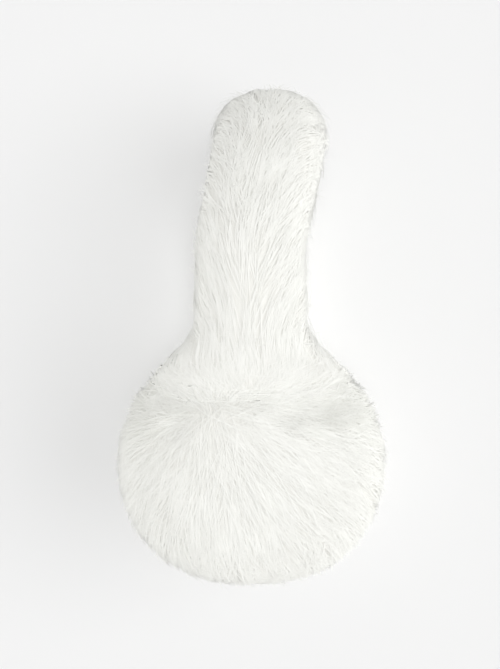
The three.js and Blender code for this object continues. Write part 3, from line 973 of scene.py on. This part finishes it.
@dataclass
class FurPart(ABC):
    """A part of the earmuffs: a felted bed with hairs, and guard hairs with fine ones over them."""

    skin: FurSurface
    finish: FurFinish
    share: float
    seed: int
    over: PadSkin | None = None
    fur_tufts: int = 740
    guard_tufts: int = 780
    fine_tufts: int = 650
    fine_step: int = 3
    fur_pile: Pile = BAND_PILE
    guard_pile: Pile = BAND_GUARD_PILE
    node: str = "headband"
    slot: str = "band_fur"
    bed_sides: int = 64
    bed_rings: int = 110
    bed_sink: float = 1.2 * MM

    @abstractmethod
    def bed(self) -> FurMesh:
        """The bed, a little under the skin."""

    def around(self) -> Array:
        """The turns of the corners of a ring of the bed."""
        return 2 * np.pi * np.arange(self.bed_sides) / self.bed_sides

    def grown(self, skin: FurSurface, pile: Pile, tufts: int, step: int, cells: Span) -> FurMesh:
        """Hairs of one kind: the part's share of the tufts, from a seed of their own."""
        return grown_hairs(skin, pile, int(tufts * self.share), self.seed + step, cells, self.over)

    def add_piece(self, mesh: FurMesh, kind: str, material: bpy.types.Material) -> bpy.types.Object:
        """Make one piece, and attach it to the body it rides on."""
        piece = mesh.to_object(f"{self.node}_{kind}", material)
        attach(piece, ROOT_BODY)
        return piece

    def build(self) -> list[bpy.types.Object]:
        """Make the part's pieces: the fur, which stands for its node, and the hairs over it."""
        material = self.finish.material()
        hairs = self.grown(self.skin, self.fur_pile, self.fur_tufts, 0, (0.1, 1.0))
        fur = self.add_piece(FurMesh.joined([self.bed(), hairs]), "fur", material)
        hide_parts(self.node)
        if not self.guard_tufts:
            return [fur]
        guard = self.grown(self.skin, self.guard_pile, self.guard_tufts, 1, (0.0, 0.5))
        fine = self.grown(self.skin, FINE_PILE, self.fine_tufts, self.fine_step, (0.5, 1.0))
        return [fur, self.add_piece(FurMesh.joined([guard, fine]), "guard_hair", material)]


@dataclass
class EarPad(FurPart):
    """A round pad of deep fur, with hairs over its crease where it has one."""

    fine_tufts: int = 700
    fine_step: int = 2
    fur_pile: Pile = PAD_PILE
    guard_pile: Pile = GUARD_PILE
    slot: str = "pad_fur"
    crease: CreaseSkin | None = None
    crease_tufts: int = 190
    bed_sides: int = 96
    bed_rings: int = 60

    def bed(self) -> FurMesh:
        """The bed: rings of equal reach, drawn toward the pad's middle."""
        turn, rows = self.around(), []
        for reach in np.linspace(0, 2, self.bed_rings):
            ring = self.skin.at(reach * np.cos(turn), reach * np.sin(turn))
            rows.append(ring if 0 < reach < 2 else ring[0])
        made = felted_bed(rows)
        away = made.places - np.array([*self.skin.centre, self.skin.rim_level])
        made.places -= self.bed_sink * unit_vectors(away)
        if self.skin.side is Side.LOWER:
            made.triangles, made.quads = made.triangles[:, ::-1], made.quads[:, ::-1]
        return made

    def build(self) -> list[bpy.types.Object]:
        """Make the pad's pieces, with hairs over its crease where it has one."""
        pieces = super().build()
        if self.crease:
            hairs = self.grown(self.crease, CREASE_PILE, self.crease_tufts, 3, (0.0, 1.0))
            pieces.append(self.add_piece(hairs, "crease_hair", pieces[0].data.materials[0]))
        return pieces


@dataclass
class Headband(FurPart):
    """The fur-covered band. Its bed keeps to the band's own skin."""

    bed_skin: BandSkin | None = None

    def bed(self) -> FurMesh:
        """The bed: rings round the band, closer together near its ends."""
        turn, rows = self.around(), []
        for share in 0.5 - 0.5 * np.cos(np.pi * np.linspace(0, 1, self.bed_rings)):
            along = np.full_like(turn, share)
            ring = self.bed_skin.at(along, turn)
            if 0 < share < 1:
                rows.append(ring - self.bed_sink * self.bed_skin.normals(along, turn))
            else:
                rows.append(ring.mean(axis=0))
        return felted_bed(rows)


@dataclass(frozen=True)
class Lamp:
    """A far lamp, with the width of its disc, its tilt from the vertical and its turn from +X in degrees."""

    name: str
    strength: float
    disc: float
    tilt: float
    turn: float
    shadows: bool

    def hang(self) -> None:
        """Add it to the scene."""
        sun = bpy.data.lights.new(self.name, "SUN")
        sun.energy = self.strength
        sun.angle = math.radians(self.disc)
        sun.use_shadow = self.shadows
        placed(self.name, sun).rotation_euler = (0, math.radians(self.tilt), math.radians(self.turn))


@dataclass(frozen=True)
class Studio:
    """The plain pale floor, the soft light and the camera, which looks down the line from ear to ear."""

    floor_hex: str = "#e4e4e4"
    floor_size: float = 6.0
    sky_strength: float = 0.45
    # The low fills cast no shadow: they stand for light from all around.
    lamps: tuple[Lamp, ...] = (
        Lamp("key", 0.82, 38, 30, 0, True),
        Lamp("top", 0.56, 12, 2, 0, True),
        Lamp("right_fill", 1.08, 20, 70, 0, False),
        Lamp("left_fill", 0.95, 20, 70, 180, False),
        Lamp("crown_fill", 0.24, 20, 70, 90, False),
        Lamp("near_fill", 0.56, 20, 70, -90, False),
    )
    bounces: int = 10
    focal_pixels: float = 1771.0
    sensor: float = 36.0
    camera_height: float = 0.915
    camera_tilt: float = math.radians(1.6)
    near_level: float = 125 * MM
    aim_across: float = -0.7 * MM
    aim_up: float = 55.3 * MM

    def lay_floor(self) -> None:
        """Make the matt floor."""
        material = bpy.data.materials.new("matt_paper")
        material.use_nodes = True
        shader = material.node_tree.nodes["Principled BSDF"]
        shader.inputs["Base Color"].default_value = linear_colour(self.floor_hex)
        shader.inputs["Roughness"].default_value = 1.0
        shader.inputs["Specular IOR Level"].default_value = 0.0
        half = self.floor_size / 2
        mesh = bpy.data.meshes.new("floor")
        outline = [(-half, -half, 0), (half, -half, 0), (half, half, 0), (-half, half, 0)]
        mesh.from_pydata(outline, [], [(0, 1, 2, 3)])
        mesh.materials.append(material)
        placed("floor", mesh)

    def light(self) -> None:
        """Hang the lamps and set white surroundings."""
        for lamp in self.lamps:
            lamp.hang()
        world = bpy.data.worlds.new("surroundings")
        world.use_nodes = True
        background = world.node_tree.nodes["Background"]
        background.inputs["Color"].default_value = (1, 1, 1, 1)
        background.inputs["Strength"].default_value = self.sky_strength
        scene = bpy.context.scene
        scene.world = world
        scene.view_settings.view_transform = "Standard"
        scene.cycles.max_bounces = scene.cycles.diffuse_bounces = self.bounces

    def place_camera(self, pad_centre_y: float) -> None:
        """Set the camera over the pads, whose middle is at this place along Y."""
        camera = bpy.data.cameras.new("camera")
        camera.sensor_width = self.sensor
        camera.lens = self.sensor * self.focal_pixels / max(PICTURE_SIZE)
        camera.clip_start, camera.clip_end = 0.01, 20
        holder = placed("camera", camera)
        aim = Vector((self.aim_across, pad_centre_y + self.aim_up, self.near_level))
        back = Vector((math.sin(self.camera_tilt), 0, math.cos(self.camera_tilt)))
        holder.location = aim + back * (self.camera_height - self.near_level)
        holder.rotation_euler = (0, self.camera_tilt, 0)
        bpy.context.scene.camera = holder


def corners(box: tuple[Vector, Vector]) -> list[list[float]]:
    """A box as plain lists of numbers."""
    return [list(corner) for corner in box]


def main() -> None:
    """Build the earmuffs and their studio, and report each piece."""
    logging.basicConfig(level=logging.INFO, format="%(name)s: %(message)s")
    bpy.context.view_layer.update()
    upper_box, lower_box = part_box("ear_pad_upper"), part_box("ear_pad_lower")
    middle_level = (upper_box[0].z + lower_box[1].z) / 2
    pad_half_height = 57 * MM
    pad_centre = (0.0, lower_box[0].y + pad_half_height)
    rim_from_middle = 46 * MM
    share = 1.0
    studio = Studio()
    studio.place_camera(pad_centre[1])
    pad_finish = FurFinish("white_fur_pile", "#f0efea", "#f4f4f0", "#dadbd3")
    band_finish = FurFinish("white_band_fur_pile", "#f0efea", "#f3f3ef", "#dcddd5")
    lower, upper = (PadSkin(side, pad_centre, middle_level + side.value * rim_from_middle) for side in Side)
    band = BandSkin(pad_centre, middle_level)
    crease = CreaseSkin(upper, band)
    parts = (
        EarPad(upper, pad_finish, share, 31, guard_tufts=800, node="ear_pad_upper", crease=crease),
        EarPad(lower, pad_finish, share, 51, fur_tufts=620, guard_tufts=0, node="ear_pad_lower"),
        Headband(BandFurSkin(pad_centre, middle_level), band_finish, share, 71, over=upper, bed_skin=band),
    )
    for part in parts:
        for piece in part.build():
            mesh = piece.data
            log.info("%s: %d triangles", piece.name, len(mesh.loops) - 2 * len(mesh.polygons))
    studio.lay_floor()
    studio.light()


if __name__ == "__main__":
    main()
